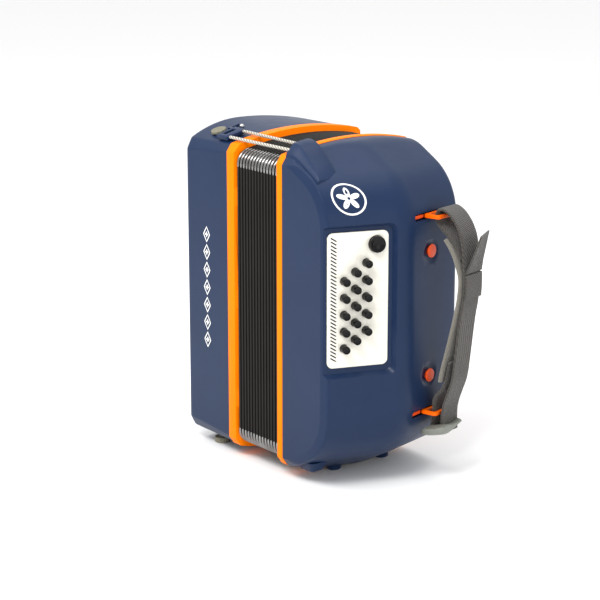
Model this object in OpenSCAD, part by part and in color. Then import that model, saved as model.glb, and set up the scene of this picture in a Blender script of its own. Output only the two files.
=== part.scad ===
// Child-size button accordion: a treble case with a fingerboard, a bass case with
// fifteen buttons and an air button, and bellows between them.
// X runs along the bellows towards the bass side, the front faces -Y, +Z is up.
// The origin is the middle of the footprint, on the floor.

/* [Cases] */
// Depth of the bellows frames, front to back
frame_depth = 144; // [138:1:156]
// Half height of the front edge, up to the corner chamfer
front_half_h = 132.5; // [128:0.5:150]
// Half height at the crown of the arched top and bottom
crown_half_h = 148.5; // [144:0.5:170]
// Radius of the arch
arch_r = 300; // [270:5:360]
// Length of the treble case
treble_len = 62; // [60:1:75]
// Half height of the treble case at its outer end, at the crown
treble_end_h = 150.5; // [146:0.5:152]
// Wall of both cases
wall = 3; // [2.5:0.1:4]
// Width of the treble bellows frame
treble_frame_w = 13; // [10:0.5:16]
// Width of the bass bellows frame
bass_frame_w = 8; // [7:0.5:12]

/* [Bellows] */
// Length of the closed bellows
bellows_len = 59; // [54:1:80]
// Depth of the folds below the frames' edge
bellows_inset = 4.5; // [3.5:0.5:6]
// Wall of the folded bellows
fold_depth = 12; // [9:0.5:14]

/* [Bass case] */
// Width of the bass case at its front face
bass_front_w = 61; // [58:1:75]
// Radius of the round shoulders, top and bottom
shoulder_r = 53.4; // [48:0.2:60]
// Turn of the button face towards the front, degrees
panel_turn = 20; // [14:0.5:24]
// Turn of the palm face towards the back, degrees
palm_turn = 14; // [8:0.5:18]
// Depth where the button face meets the palm face
ridge_y = 69.5; // [64:0.5:76]

/* [Bass buttons] */
// Length of the ivory panel
panel_h = 118; // [112:1:124]
// Width of the ivory panel
panel_w = 54.8; // [53:0.1:55.6]
// Thickness of the panel
panel_t = 2.4; // [2:0.1:3]
// Diameter of a bass button
bass_button_d = 6.9; // [6:0.1:7.6]
// Pitch of the buttons in a column
bass_pitch = 14.8; // [13.5:0.1:15.5]
// Spacing of the columns
column_gap = 9.9; // [9.3:0.1:10.4]
// Travel of a bass button
bass_travel = 3; // [2:0.25:3.5]
// Diameter of the air button
air_d = 14.4; // [12:0.2:15]

/* [Treble keys] */
// Diameter of a treble button
key_d = 13; // [11:0.25:13.5]
// Spacing of neighbouring levers
lever_pitch = 7; // [6.6:0.1:7.4]
// Spacing of the three rows
row_gap = 17; // [16:0.5:18]
// Height of the fingerboard
board_h = 190; // [184:2:220]
// Depth of the fingerboard
board_d = 30; // [26:1:36]

/* [Hand strap and fittings] */
// Width of the webbing
strap_w = 25; // [20:1:28]
// Thickness of the webbing
strap_t = 2; // [1.4:0.1:2.4]
// Thickness of the padded liner
liner_t = 5; // [4:0.25:5.4]
// Half the distance between the two strap slots
slot_z = 88; // [84:0.5:92]
// Diameter of an elastic cord
cord_d = 2.8; // [2:0.1:3.2]
// Bore of a shoulder strap lug
lug_bore = 6; // [5:0.5:8]
// Length of a shoulder strap lug
lug_w = 12; // [8:1:16]

/* [Hidden] */

$fn = 48;
smooth = 360;       // segments of the large arches
gap = 0.3;          // clearance between pieces that only sit near each other
run = 0.1;          // radial clearance of a running fit
slip = 1.3;         // room around a treble button, which swings as it is pressed
NAVY = [0.16, 0.23, 0.36];
ORANGE = [1.0, 0.52, 0.0];
IVORY = [0.94, 0.93, 0.88];
BLACK = [0.08, 0.08, 0.08];
STEEL = [0.75, 0.75, 0.76];
BRASS = [0.8, 0.65, 0.3];
WOOD = [0.75, 0.58, 0.38];
GREY = [0.42, 0.41, 0.38];
RED = [0.9, 0.28, 0.05];

// Stations along the bellows, from the treble end to the bass case
board_w = 3 * row_gap + 13;
end_x = -treble_len;
flange_x = 0;
folds_x = flange_x + treble_frame_w;
bass_frame_x = folds_x + bellows_len;
bass_x = bass_frame_x + bass_frame_w;
front_corner_x = bass_x + bass_front_w;      // where the front meets the button face
chamfer_w = 7.1;                             // bevel round the front of the bass case
chamfer_d = 1.8;
shoulder_z = 80;                             // where the shoulders begin to curve
shoulder_slope = 28;                         // degrees, the run-out above the shoulder
ridge_x = front_corner_x + (ridge_y - chamfer_d) * tan(panel_turn);
arch_y = frame_depth / 2 + 6;                // crown of the arch, front to back
bass_step = 0.8;                             // how far the bass case sits below its frame
corner = 5;                                  // chamfer of the frames' corners
far = 400;

// Soundboards, levers and pallets
soundboard_t = 4;
soundboard_x = end_x + 25;
axle_x = end_x + 9;
axle_y = 72;
axle_d = 3;
lever_t = 3;
lever_h = 6;
pallet = [4.5, 13, 17];
pallet_y = [22, 38, 54];                     // reach of the three pallet lines
key_turn = [6.2, 3.8, 3.2];                   // full swing of a key in each row
board_y = 62;                                // front of the fingerboard
key_front = 6;                               // how far a button stands proud
key_count = 18;
bearing_z = key_count / 2 * lever_pitch + 11;
bearing_t = 4;
block_h = 57;
block_w = 18;
block_y = [30, 84];
plate = [44, 2.2, 15];
plate_pitch = 19;
bass_board_x = bass_x + 4;
bass_board_t = 3;
bass_block = [42, 26, 130];
bass_block_y = 22;

// Panel: place on the button face, counted from its front corner
panel_at = [0.5, -37];
panel_sunk = 3.1;
recess = [-12, -44, 61.5, 86];               // low along, low up, high along, high up
recess_d = 3;
panel_r = 5;
column_at = 15.5;
lowest_button_z = -20.1;
air_at = [44.5, 69.5];
seat_t = 2.6;                                // floor that the panel lies on
seat_w = 5;
button_proud = 5;
air_proud = 1;
collar_rim = 0.8;
pan_d = panel_sunk + panel_t + seat_t;       // depth of the pan's back below the face
toe_z = 143.8;
collar_t = 2;
bass_stem = [5, 14];
slot_count = 34;
slot_pitch = 3.18;
slot_slant = 32;

// Strap route in the palm face's own plane: distance off the face, height
strap_mid = 37;
strap_route = [[17.5, -106], [16.8, -93], [18, -82], [23, -70], [30, -54], [32.5, -38],
               [37, 0], [39.5, 15], [41, 32], [40.4, 47], [36, 68], [30, 80], [22, 90],
               [14, 94.5], [9, 93], [7.9, 87], [11, 80], [23, 71], [31, 63.5], [36.3, 55.5]];
liner_route = [[23.5, 64], [29.5, 56], [34, 47.5], [36.6, 38], [36.4, 27], [34.6, 14],
               [31.6, 0], [28.2, -14], [24.8, -28], [20.6, -44], [17.5, -57]];
anchor_route = [[27.5, -38], [24.5, -52], [19, -63], [10.5, -73], [8, -80], [7.9, -88],
                [5, -107]];
tab_route = [[42.6, 43], [44.2, 56], [46.4, 74]];
keeper_route = [[42.4, 20], [42.9, 30], [42.7, 41.5]];
buckle = [28, 32, 3];
buckle_at = [11.5, -101];
bracket = [13.5, 36, 3.4];
slot_h = 6;
plug_d = 11.8;
plug_z = 56;

// Cords, hooks and feet
cord_x = [-8, bass_x - gap];
cord_y = [[10, 8.5], [25, 20]];
cord_z = [[143.2, 143.8], [147, 147.4]];
hook = [16, 22, 3.8];
hook_y = 18;
stud_at = [-27, 37];
foot_d = 14;
foot_at = [[-37, 19], [-37, 118]];
bass_foot_y = [52, 108];
foot_stem_d = 4;
foot_lift = 1.2;                             // bedding of the feet on the curved case
lift = 0.9;                                  // bedding of flat fittings on the curved case
floor_z = -150.5;
lug_z = 112;
lug_r = 7;
lug_y = frame_depth + 2;

// Footprint, which sets the origin
low_x = end_x - board_w;
high_x = ridge_x + max([for (p = tab_route) p.x]) * cos(palm_turn)
         - (strap_mid - strap_w / 2) * sin(palm_turn) + strap_t / 2;
back_y = lug_y + 2 * lug_r;
origin = [(low_x + high_x) / 2, back_y / 2, floor_z];

module placed() { translate(-origin) children(); }
module both_ends() { children(); mirror([0, 0, 1]) children(); }

// Frames of the button face and the palm face: X out of the face, Y along it
module on_button_face() {
    translate([front_corner_x, chamfer_d, 0]) rotate([0, 0, -panel_turn]) children();
}
module on_palm_face() {
    translate([ridge_x, ridge_y, 0]) rotate([0, 0, palm_turn]) children();
}

// Side outline of the frames, drawn with depth across and height up
module frame_outline(inset = 0) {
    d = frame_depth - inset;
    front = front_half_h - inset;
    back = front_half_h + 6 - inset;
    run_out = 60;
    half = [[inset, front], [inset + run_out * 5 / 7, front + run_out],
            [d - run_out, back + run_out], [d, back]];
    intersection() {
        translate([arch_y, crown_half_h - arch_r]) circle(arch_r - inset, $fn = smooth);
        translate([arch_y, arch_r - crown_half_h]) circle(arch_r - inset, $fn = smooth);
        polygon(concat(half, [for (i = [3:-1:0]) [half[i].x, -half[i].y]]));
    }
}

// Stands an outline in depth and height up at x, and gives it a length along x
module across(x, length) {
    translate([x, 0, 0]) rotate([90, 0, 90]) linear_extrude(length) children();
}

// Outer end of the treble case: its crown sits further forward than the frames'
function end_top(y, inset) =
    let (mid = 58, r = y < mid ? 111 : 338)
    treble_end_h - inset - r + sqrt(r * r - pow(y - mid, 2));

module treble_end_outline(inset = 0) {
    low = front_half_h - 5 - inset;
    top = concat([[inset, low]],
                 [for (i = [0:24]) let (y = corner + inset + i * (frame_depth - 2 * inset - corner) / 24)
                     [y, end_top(y, inset)]]);
    n = len(top);
    polygon(concat(top, [for (i = [n - 1:-1:0]) [top[i].x, -top[i].y]]));
}

module treble_body(inset = 0) {
    hull() {
        across(end_x + inset, 0.01) treble_end_outline(inset);
        across(flange_x - 0.01, 0.01) frame_outline(inset + 1, $fn = 72);
    }
}

// Shoulder outline of the bass case: distance along the face's normal, and height
module shoulder_outline(inset = 0) {
    r = shoulder_r - inset;
    top = [r * sin(shoulder_slope), r * cos(shoulder_slope)];
    reach = 160;
    translate([-shoulder_r, 0]) {
        translate([-reach, -shoulder_z]) square([reach + r, 2 * shoulder_z]);
        both_sides() {
            translate([0, shoulder_z]) intersection() {
                circle(r, $fn = smooth);
                square(r);
            }
            translate([0, shoulder_z])
                polygon([[0, -1], [0, 0], top, [-reach, top.y + (top.x + reach) * tan(shoulder_slope)],
                         [-reach, -1]]);
        }
    }
}
module both_sides() { children(); mirror([0, 1]) children(); }

// Edge of the frames over a depth, and the end faces' place over it
function frame_top(y) = min(front_half_h + 7 / 5 * y, arch_line(y, crown_half_h),
                            front_half_h + 6 + frame_depth - y);
function arch_line(y, crown) = crown - arch_r + sqrt(arch_r * arch_r - pow(y - arch_y, 2));
function face_x(y) = y < ridge_y ? front_corner_x + (y - chamfer_d) * tan(panel_turn)
                                 : ridge_x - (y - ridge_y) * tan(palm_turn);

// One upright section of the bass case, across at depth y
module bass_section(y, inset, bevel = 0) {
    top = frame_top(y) - inset - bass_step;
    translate([0, y, 0]) rotate([90, 0, 0]) linear_extrude(0.01) intersection() {
        translate([face_x(y), 0]) shoulder_outline(inset + bevel, $fn = 64);
        translate([bass_x, -top]) square([far, 2 * top]);
    }
}

module bass_body(inset = 0) {
    hull() {
        bass_section(inset + 0.01, inset, chamfer_w);
        for (y = concat([inset + chamfer_d, corner + inset, ridge_y, frame_depth - inset],
                        [for (i = [1:4]) corner + i * (ridge_y - corner) / 5],
                        [for (i = [1:5]) ridge_y + i * (frame_depth - corner - ridge_y) / 5]))
            bass_section(y, inset);
    }
}

// A straight round bar between two points
module bar(a, b, d) {
    v = b - a;
    translate(a) rotate([0, acos(v.z / norm(v)), atan2(v.y, v.x)]) cylinder(d = d, h = norm(v));
}

// A flat band of the given thickness along a route of points
function normal_at(route, i) =
    let (a = route[max(i - 1, 0)], b = route[min(i + 1, len(route) - 1)], v = b - a)
    [-v.y, v.x] / norm(v);
module band(route, t) {
    n = len(route);
    polygon(concat([for (i = [0:n - 1]) route[i] + normal_at(route, i) * t / 2],
                   [for (i = [n - 1:-1:0]) route[i] - normal_at(route, i) * t / 2]));
}
module strap_band(route, t, w = strap_w) {
    on_palm_face() translate([0, strap_mid + w / 2, 0]) rotate([90, 0, 0])
        linear_extrude(w) band(route, t);
}

/* ---- Treble side ---- */

function key_row(i) = (i - 1) % 3;
function key_z(i) = (i - (key_count + 1) / 2) * lever_pitch;
function key_x(row) = end_x - 14 - row * row_gap;

module key_pallet_place(i) {
    translate([soundboard_x - gap, axle_y - pallet_y[key_row(i)], key_z(i)]) children();
}

module treble_casing() color(NAVY) placed() {
    difference() {
        treble_body();
        treble_body(wall);
        // window through which the levers pass to the fingerboard
        translate([end_x - 1, axle_y - 8, -bearing_z + 4]) cube([wall + 2, 16, 2 * bearing_z - 8]);
        for (p = foot_at) translate([p.x, p.y, -far]) cylinder(d = foot_stem_d + 2 * gap, h = far);
        translate([foot_at[0].x, foot_at[0].y, 0]) cylinder(d = foot_stem_d + 2 * gap, h = far);
        translate([stud_at.x, stud_at.y, 0]) cylinder(d = 3.6, h = far);
        treble_screw_holes();
    }
    difference() {
        intersection() {
            treble_body(wall - 0.5);
            translate([soundboard_x, 0, -far / 2]) cube([soundboard_t, far, far]);
        }
        for (i = [1:key_count]) key_pallet_place(i)
            translate([-1, -pallet.y / 2 + 2.5, -pallet.z / 2 + 3])
                cube([soundboard_t + 2, pallet.y - 5, pallet.z - 6]);
    }
    // bearings of the key axle
    for (s = [-1, 1]) difference() {
        translate([axle_x - 5, axle_y - 5, s * bearing_z - bearing_t / 2])
            cube([soundboard_x - axle_x + 5.5, 10, bearing_t]);
        translate([axle_x, axle_y, s * bearing_z - bearing_t]) cylinder(d = axle_d, h = 2 * bearing_t);
    }
}

module treble_screw_holes() {
    for (p = screw_places()) translate([end_x - 1, p.x, p.y]) rotate([0, 90, 0])
        cylinder(d = 3, h = wall + 2);
}
function screw_places() =
    [for (s = [-1, 1]) for (y = [board_y + 10, board_y + board_d - 8]) [y, s * (board_h / 2 - 10)]];

module ring(x, length, outer, inner) {
    across(x, length) difference() {
        frame_outline(outer);
        frame_outline(inner);
    }
}

module treble_frame() color(ORANGE) placed() {
    ring(flange_x, treble_frame_w, 0, fold_depth + bellows_inset - 4);
    // small latches that reach over the first fold
    for (z = [-1, 0, 1]) translate([folds_x - 0.5, 0.2, z * 93 - 8]) cube([2, bellows_inset - 1, 16]);
}

module bellows() color(BLACK) placed()
    ring(folds_x + 1.5, bellows_len - 1.5, bellows_inset, fold_depth + bellows_inset);

module treble_reed_blocks() color(WOOD) placed()
    for (y = block_y) translate([soundboard_x + soundboard_t, y, -bearing_z])
        cube([block_h, block_w, 2 * bearing_z]);

module reed_plates(at, count, pitch, towards) {
    for (i = [0:count - 1]) translate([at.x, at.y, at.z + (i - (count - 1) / 2) * pitch - plate.z / 2]) {
        cube(plate);
        translate([5, towards > 0 ? plate.y : -0.4, plate.z / 2 - 2]) cube([plate.x - 12, 0.4, 4]);
    }
}

module treble_reed_plates() color(BRASS) placed() {
    for (y = block_y) {
        reed_plates([soundboard_x + soundboard_t + 8, y - plate.y, 0], 8, plate_pitch, -1);
        reed_plates([soundboard_x + soundboard_t + 8, y + block_w, 0], 8, plate_pitch, 1);
    }
}

module fingerboard() color(NAVY) placed() difference() {
    translate([end_x - board_w, board_y, -board_h / 2]) cube([board_w, board_d, board_h]);
    translate([end_x - board_w + wall, board_y + wall, -board_h / 2 + wall])
        cube([board_w - 3 * wall, board_d - 2 * wall, board_h - 2 * wall]);
    translate([end_x - 3 * wall, axle_y - 8, -bearing_z + 4]) cube([4 * wall, 16, 2 * bearing_z - 8]);
    for (i = [1:key_count]) translate([key_x(key_row(i)), board_y - 1, key_z(i)]) rotate([-90, 0, 0])
        cylinder(d = key_d + 2 * slip, h = wall + 2);
    for (p = screw_places()) translate([end_x - 4 * wall, p.x, p.y]) rotate([0, 90, 0])
        cylinder(d = 3, h = 4 * wall + 1);
}

// Button, lever, hub and pallet of one key, glued up as one piece
module treble_key(i) {
    row = key_row(i);
    x = key_x(row);
    reach = pallet_y[row];
    color(IVORY) placed() translate([0, 0, key_z(i)]) {
        difference() {
            union() {
                translate([x, board_y - key_front, 0]) rotate([-90, 0, 0])
                    cylinder(d = key_d, h = key_front + 4);
                translate([x, board_y, 0]) rotate([-90, 0, 0]) cylinder(d = 6, h = 10);
                translate([x - 2, axle_y - lever_h / 2, -lever_t / 2])
                    cube([axle_x - x + 2, lever_h, lever_t]);
                translate([axle_x, axle_y, -2.4]) cylinder(d = 8, h = 4.8);
                translate([axle_x - 2, axle_y - reach - 2, -lever_t / 2]) cube([4, reach + 2, lever_t]);
                translate([axle_x - 1, axle_y - reach - 2, -lever_t / 2])
                    cube([soundboard_x - axle_x - gap, 4, lever_t]);
                translate([soundboard_x - gap - pallet.x, axle_y - reach - pallet.y / 2, -pallet.z / 2])
                    cube(pallet);
            }
            translate([axle_x, axle_y, -4]) cylinder(d = axle_d + 2 * run, h = 8);
        }
    }
}

module key_axle() color(STEEL) placed()
    translate([axle_x, axle_y, -bearing_z - bearing_t / 2])
        cylinder(d = axle_d, h = 2 * bearing_z + bearing_t);

module fingerboard_screws() color(STEEL) placed()
    for (p = screw_places()) translate([end_x, p.x, p.y]) rotate([0, 90, 0]) {
        translate([0, 0, wall]) cylinder(d = 6, h = 2);
        translate([0, 0, -3 * wall + 1]) cylinder(d = 3, h = 4 * wall - 1);
    }

// Height of the treble case over a point, and its slope along the depth
function arch_top(y) = crown_half_h - 1 - arch_r + sqrt(arch_r * arch_r - pow(y - arch_y, 2));
function case_top(x, y) = let (f = (x - end_x) / treble_len)
    end_top(y, 0) * (1 - f) + arch_top(y) * f;
function case_tilt(x, y) = atan2(case_top(x, y + 8) - case_top(x, y - 8), 16);

module on_case_top(x, y) {
    translate([x, y, case_top(x, y)]) rotate([case_tilt(x, y), 0, 0]) children();
}

module foot_pads() color(GREY) placed() for (p = foot_at) {
    top = case_top(p.x, p.y);
    inside = top - wall + 1.8;               // the stems stop short of the soundboard
    if (p == foot_at[0]) {
        on_case_top(p.x, p.y) translate([0, 0, foot_lift]) cylinder(d = foot_d, h = 2);
        translate([p.x, p.y, inside]) cylinder(d = foot_stem_d, h = wall);
    }
    side = p.y < 58 ? 1 : -1;
    lowest = case_top(p.x, p.y + side * foot_d / 2) + foot_lift;
    translate([p.x, p.y, floor_z]) cylinder(d = foot_d, h = -floor_z - lowest);
    translate([p.x, p.y, floor_z + 0.1]) cylinder(d = foot_stem_d, h = -floor_z - 0.1 - inside);
}

module cord_studs() color(STEEL) placed() {
    top = case_top(stud_at.x, stud_at.y);
    translate([stud_at.x, stud_at.y, top - wall]) cylinder(d = 3, h = wall + 1);
    translate([stud_at.x, stud_at.y, top + 1.6]) sphere(d = 4.6);
}

module cord_hooks() color(NAVY) placed()
    on_case_top(cord_x[0] - hook.x / 2, hook_y) translate([-hook.x / 2, -hook.y / 2, lift]) {
        difference() {
            cube(hook);
            translate([3, 5, -1]) cube([5, 12, hook.z + 2]);
        }
        // finger that reaches behind the stud
        translate([-8.8, hook.y - 3, 0]) cube([9.8, 3, hook.z - 1]);
        translate([-8.8, hook.y - 3, 0]) cube([3, 12, hook.z - 1]);
    }

module elastic_cords() color(GREY) placed()
    for (i = [0, 1])
        bar([cord_x[0] + gap, cord_y[i][0], cord_z[i][0]], [cord_x[1], cord_y[i][1], cord_z[i][1]],
            cord_d);

module strap_lugs() color(STEEL) placed() both_ends() translate([-45, 0, lug_z]) difference() {
    union() {
        translate([0, frame_depth, -lug_r]) cube([lug_w, lug_y + lug_r - frame_depth, 2 * lug_r]);
        translate([0, lug_y + lug_r, 0]) rotate([0, 90, 0]) cylinder(r = lug_r, h = lug_w);
    }
    translate([-1, lug_y + lug_r, 0]) rotate([0, 90, 0]) cylinder(d = lug_bore, h = lug_w + 2);
}

/* ---- Bass side ---- */

module bass_frame() color(ORANGE) placed()
    ring(bass_frame_x, bass_frame_w, 0, fold_depth + bellows_inset - 4);

// Raised guard that the closing cords run into
module cord_shroud() {
    near = cord_y[0][1] - cord_d;
    back = cord_y[1][1] + cord_d + 7;
    crest = -floor_z;
    hull() {
        translate([bass_x, near - 1, crest - 13]) cube([1, 0.5, 1]);
        translate([bass_x, near + 2, crest - 40]) cube([1, back - near - 2, 35]);
        translate([bass_x, back - 8, crest - 40]) cube([9, 8, 40]);
        translate([bass_x + 18, back - 7, crest - 40]) cube([1, 7, 33.5]);
        translate([bass_x, near, crest - 60]) cube([40, back - near, 29]);
    }
}

// Bump under the front corner, and feet under the crown
module bass_toe() hull() {
    translate([bass_x + 5, 9, -toe_z]) cube([14, 14, 10]);
    translate([bass_x + 1, 6, -toe_z + 8]) cube([34, 22, 6]);
}
module bass_feet() for (y = bass_foot_y)
    translate([bass_x + 1 + foot_d / 2, y, floor_z]) cylinder(d = foot_d, h = 9);

module bass_casing() color(NAVY) placed() difference() {
    union() {
        bass_body();
        cord_shroud();
        bass_toe();
        bass_feet();
    }
    // the inside, apart from the pan that carries the panel
    difference() {
        bass_body(wall);
        on_button_face() translate([-pan_d, -far / 2, recess[1] - wall])
            cube([far, far / 2 + recess[2] + wall, recess[3] - recess[1] + 2 * wall]);
    }
    on_button_face() {
        translate([-recess_d, recess[0], recess[1]])
            cube([far, recess[2] - recess[0], recess[3] - recess[1]]);
        translate([-panel_sunk - panel_t, panel_at.x - gap, panel_at.y - gap])
            face_plate([far, panel_w + 2 * gap, panel_h + 2 * gap], panel_r + gap);
        panel_window();
    }
    // slots of the strap brackets, and holes of the plugs
    on_palm_face() both_ends() {
        translate([-wall - 4, strap_mid - bracket.y / 2 - 4, slot_z - slot_h / 2])
            cube([far, bracket.y + 8, slot_h]);
        translate([-wall - 2, strap_mid - 2, plug_z]) rotate([0, 90, 0]) cylinder(d = 8.4, h = far);
    }
}

// Opening behind the panel, where the buttons' collars and stems move
module panel_window() {
    translate([-far / 2, panel_at.x + seat_w, panel_at.y + seat_w])
        cube([far / 2, panel_w - 2 * seat_w, panel_h - 2 * seat_w]);
    translate([-far / 2, air_at.x, air_at.y]) rotate([0, 90, 0])
        cylinder(d = air_d + 2 * collar_rim + 2 * gap, h = far / 2);
}

module on_panel() on_button_face() translate([-panel_sunk - panel_t, panel_at.x, panel_at.y]) children();

function column_z(c) = lowest_button_z + c * bass_pitch / 2;
function bass_place(i) = let (c = floor((i - 1) / 5), r = (i - 1) % 5)
    [column_at + c * column_gap, column_z(c) + r * bass_pitch];

// Plate lying in a face's plane, with rounded corners: X is its thickness
module face_plate(size, r) {
    rotate([90, 0, 90]) linear_extrude(size.x) {
        translate([r, 0]) square([size.y - 2 * r, size.z]);
        translate([0, r]) square([size.y, size.z - 2 * r]);
        for (y = [r, size.y - r]) for (z = [r, size.z - r]) translate([y, z]) circle(r);
    }
}

module bass_panel() color(IVORY) placed() difference() {
    on_panel() face_plate([panel_t, panel_w, panel_h], panel_r);
    on_button_face() {
        for (i = [1:15]) let (p = bass_place(i))
            translate([-10, p.x, p.y]) rotate([0, 90, 0]) cylinder(d = bass_button_d + 2 * gap, h = 20);
        translate([-10, air_at.x, air_at.y]) rotate([0, 90, 0]) cylinder(d = air_d + 2 * gap, h = 20);
        // slanted air slots down the front edge
        for (i = [0:slot_count - 1])
            translate([-10, panel_at.x + 2.6, panel_at.y + 8.6 + i * slot_pitch]) rotate([-slot_slant, 0, 0])
                cube([20, 6.4, 1.15]);
    }
}

// A button that slides through the panel, held by a collar behind it
module bass_button(i) color(BLACK) placed() on_button_face() {
    p = bass_place(i);
    back = -panel_sunk - panel_t;
    translate([back - gap, p.x, p.y]) rotate([0, 90, 0])
        cylinder(d = bass_button_d, h = button_proud - back + gap);
    translate([back - gap - collar_t, p.x, p.y]) rotate([0, 90, 0])
        cylinder(d = bass_button_d + 2 * collar_rim, h = collar_t);
    translate([back - gap - collar_t - bass_stem.y, p.x, p.y]) rotate([0, 90, 0])
        cylinder(d = bass_stem.x, h = bass_stem.y);
}

// The air button's stem runs through the soundboard to the valve
air_y = chamfer_d + air_at.x * cos(panel_turn);
air_x = front_corner_x + air_at.x * sin(panel_turn);
air_stem = (air_x - bass_board_x) / cos(panel_turn) + 3;
valve_y = air_y + (air_x - bass_board_x) * tan(panel_turn);

module air_button() color(BLACK) placed() on_button_face() {
    back = -panel_sunk - panel_t;
    translate([back - gap, air_at.x, air_at.y]) rotate([0, 90, 0])
        cylinder(d = air_d, h = air_proud - back + gap);
    translate([back - gap - collar_t, air_at.x, air_at.y]) rotate([0, 90, 0])
        cylinder(d = air_d + 2 * collar_rim, h = collar_t);
    translate([-air_stem, air_at.x, air_at.y]) rotate([0, 90, 0]) cylinder(d = 4, h = air_stem);
}

module air_valve() color(WOOD) placed() difference() {
    translate([bass_board_x - 4 - gap, valve_y - 14, air_at.y - 14]) cube([4, 28, 28]);
    on_button_face() translate([-air_stem - 9, air_at.x, air_at.y]) rotate([0, 90, 0])
        cylinder(d = 4, h = air_stem + 9);
}

module bass_soundboard() color(WOOD) placed() difference() {
    across(bass_board_x, bass_board_t) frame_outline(wall + bass_step + gap);
    translate([bass_board_x - 1, valve_y - 8, air_at.y - 9]) cube([bass_board_t + 2, 16, 18]);
    for (i = [0:4]) translate([bass_board_x - 1, bass_block_y + 8, i * 22 - 84]) cube([bass_board_t + 2, 10, 12]);
}

module bass_reed_block() color(WOOD) placed()
    translate([bass_board_x - bass_block.x, bass_block_y, -bass_block.z / 2 - 20]) cube(bass_block);

module bass_reed_plates() color(BRASS) placed() {
    reed_plates([bass_board_x - bass_block.x - 4, bass_block_y - plate.y, -20], 6, plate_pitch, -1);
    reed_plates([bass_board_x - bass_block.x - 4, bass_block_y + bass_block.y, -20], 6, plate_pitch, 1);
}

/* ---- Hand strap ---- */

module hand_strap() color(GREY) placed() {
    strap_band(strap_route, strap_t);
    strap_band(keeper_route, 1.6);
    strap_band(tab_route, 1.6);
    strap_band(anchor_route, strap_t);
}

module strap_liner() color([0.5, 0.49, 0.45]) placed() strap_band(liner_route, liner_t, strap_w + 3);

module strap_buckle() color([0.4, 0.42, 0.39]) placed() on_palm_face()
    translate([buckle_at.x, strap_mid, buckle_at.y]) rotate([0, -15, 0]) difference() {
        translate([-buckle.x / 2, -buckle.y / 2, 0]) cube(buckle);
        for (x = [-buckle.x / 2 + 4, 2]) translate([x, -buckle.y / 2 + 3, -1])
            cube([8, buckle.y - 6, buckle.z + 2]);
    }

module strap_brackets() color(ORANGE) placed() on_palm_face() both_ends() difference() {
    union() {
        translate([-wall - 1.5, strap_mid - bracket.y / 2, slot_z - bracket.z / 2])
            cube([wall + 1.5 + bracket.x, bracket.y, bracket.z]);
        translate([-wall - 3, strap_mid - bracket.y / 2 - 5, slot_z - bracket.z / 2])
            cube([2, bracket.y + 10, bracket.z]);
    }
    translate([0.8, strap_mid - strap_w / 2 - 2, slot_z - bracket.z])
        cube([bracket.x - 5, strap_w + 4, 2 * bracket.z]);
}

module strap_plugs() color(RED) placed() on_palm_face() both_ends()
    translate([0, strap_mid - 2, plug_z]) rotate([0, 90, 0]) {
        cylinder(d = plug_d, h = 1.6);
        translate([0, 0, -wall]) cylinder(d = 8, h = wall);
    }

treble_casing();
treble_frame();
treble_reed_blocks();
treble_reed_plates();
fingerboard();
key_axle();
foot_pads();
cord_studs();
cord_hooks();
strap_lugs();
bellows();
elastic_cords();
fingerboard_screws();
bass_casing();
bass_frame();
bass_panel();
bass_soundboard();
bass_reed_block();
bass_reed_plates();
hand_strap();
strap_liner();
strap_buckle();
strap_brackets();
strap_plugs();
air_button();
air_valve();
for (i = [1:key_count])
    treble_key(i);
for (i = [1:15])
    bass_button(i);
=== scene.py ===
import bpy
import bmesh
import math
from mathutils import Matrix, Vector


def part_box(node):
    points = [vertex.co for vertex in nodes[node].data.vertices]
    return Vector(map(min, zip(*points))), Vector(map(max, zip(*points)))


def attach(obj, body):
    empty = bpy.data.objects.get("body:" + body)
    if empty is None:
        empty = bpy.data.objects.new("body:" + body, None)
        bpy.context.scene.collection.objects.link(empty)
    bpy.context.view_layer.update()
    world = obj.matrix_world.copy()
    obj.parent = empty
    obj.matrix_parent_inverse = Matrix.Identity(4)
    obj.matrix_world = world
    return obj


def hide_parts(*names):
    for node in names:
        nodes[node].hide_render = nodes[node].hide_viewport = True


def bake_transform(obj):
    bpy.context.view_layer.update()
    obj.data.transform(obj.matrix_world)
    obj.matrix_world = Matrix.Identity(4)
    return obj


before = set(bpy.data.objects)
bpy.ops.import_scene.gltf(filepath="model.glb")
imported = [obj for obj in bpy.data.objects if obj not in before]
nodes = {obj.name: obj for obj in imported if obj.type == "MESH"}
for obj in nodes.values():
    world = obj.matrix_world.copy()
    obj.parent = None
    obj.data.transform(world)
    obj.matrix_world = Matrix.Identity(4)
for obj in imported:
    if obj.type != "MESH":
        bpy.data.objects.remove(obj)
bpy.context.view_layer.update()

# ---- Places: design millimetres to metres in the shared frame ----
MM = 0.001
FRAME_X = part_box("treble_frame")[0][0]          # the treble frame's outer face is x = 0 in the design
HALF_DEPTH = 80.0
FLOOR = -150.5


def at(x, y, z):
    """A point of the design, given in millimetres, in metres in the shared frame."""
    return Vector((FRAME_X + x * MM, (y - HALF_DEPTH) * MM, (z - FLOOR) * MM))


PANEL_TURN, PALM_TURN = math.radians(20), math.radians(14)
CORNER_X, BEVEL_D = 141.0, 1.8                  # front corner of the bass case, and its bevel's depth
RIDGE_Y = 69.5
RIDGE_X = CORNER_X + (RIDGE_Y - BEVEL_D) * math.tan(PANEL_TURN)
DEPTH = 144.0
FOLDS_X, FOLDS_END, BASS_X = 12.6, 72.0, 80.0
SHOULDER_R, SHOULDER_Z, RUN_OUT = 53.4, 80.0, math.radians(28)


def on_button_face(out, along, up):
    """A point counted off the button face: out of it, along it from its front corner, and up."""
    c, s = math.cos(PANEL_TURN), math.sin(PANEL_TURN)
    return at(CORNER_X + out * c + along * s, BEVEL_D - out * s + along * c, up)


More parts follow.
